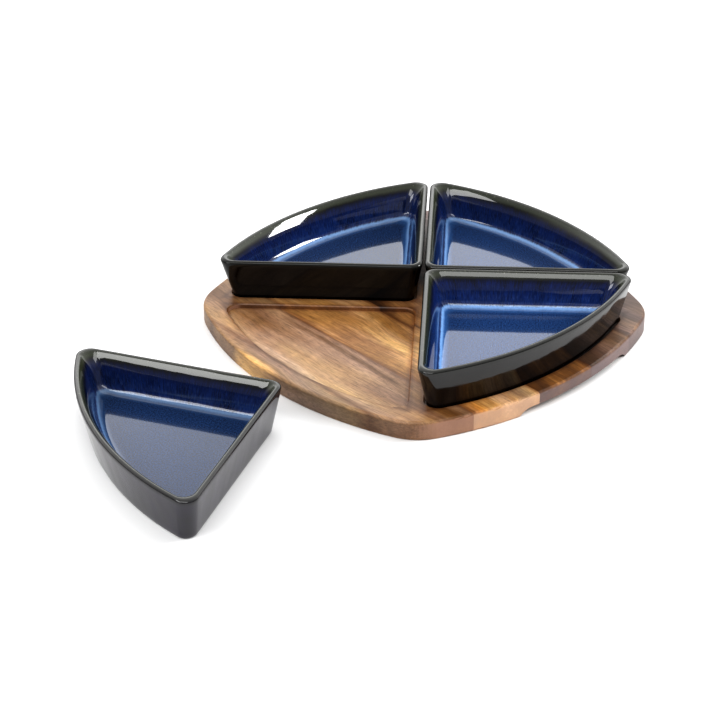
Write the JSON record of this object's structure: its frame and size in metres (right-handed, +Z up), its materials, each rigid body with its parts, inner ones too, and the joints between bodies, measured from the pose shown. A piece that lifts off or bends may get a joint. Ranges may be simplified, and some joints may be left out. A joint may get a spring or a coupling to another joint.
{
  "type": "chip and dip server",
  "caption": "Wooden serving board with wedge-shaped recesses and lift-out glazed wedge bowls; one bowl stands on the table beside the board.",
  "frame": {"origin": "centre of the board on its underside, where it rests on the table", "axes": "+Z up; the rails between the recesses lie along X and Y, so a corner of the board points along each axis; -Y is the front corner, towards the person"},
  "size_m": [0.4268, 0.4883, 0.049],
  "materials": {
    "acacia": "satin lacquered acacia, edge-glued staves",
    "blue_glaze": "gloss reactive glaze, cobalt inside, near-black outside and on the rim"
  },
  "bodies": {
    "board": {"board_stave_1": "acacia", "board_stave_2": "acacia", "board_stave_3": "acacia", "board_stave_4": "acacia", "board_stave_5": "acacia"},
    "bowl_back_left": {"bowl_back_left": "blue_glaze"},
    "bowl_back_right": {"bowl_back_right": "blue_glaze"},
    "bowl_front_right": {"bowl_front_right": "blue_glaze"},
    "bowl_set_aside": {"bowl_set_aside": "blue_glaze"}
  },
  "joints": [
    {"name": "bowl_back_left_lift", "type": "slide", "parent": "board", "child": "bowl_back_left", "axis": [0, 0, 1], "range_m": [0, 0.08]},
    {"name": "bowl_back_right_lift", "type": "slide", "parent": "board", "child": "bowl_back_right", "axis": [0, 0, 1], "range_m": [0, 0.08]},
    {"name": "bowl_front_right_lift", "type": "slide", "parent": "board", "child": "bowl_front_right", "axis": [0, 0, 1], "range_m": [0, 0.08]},
    {"name": "bowl_set_aside_lift", "type": "slide", "parent": "board", "child": "bowl_set_aside", "axis": [0, 0, 1], "range_m": [0, 0.08]}
  ]
}
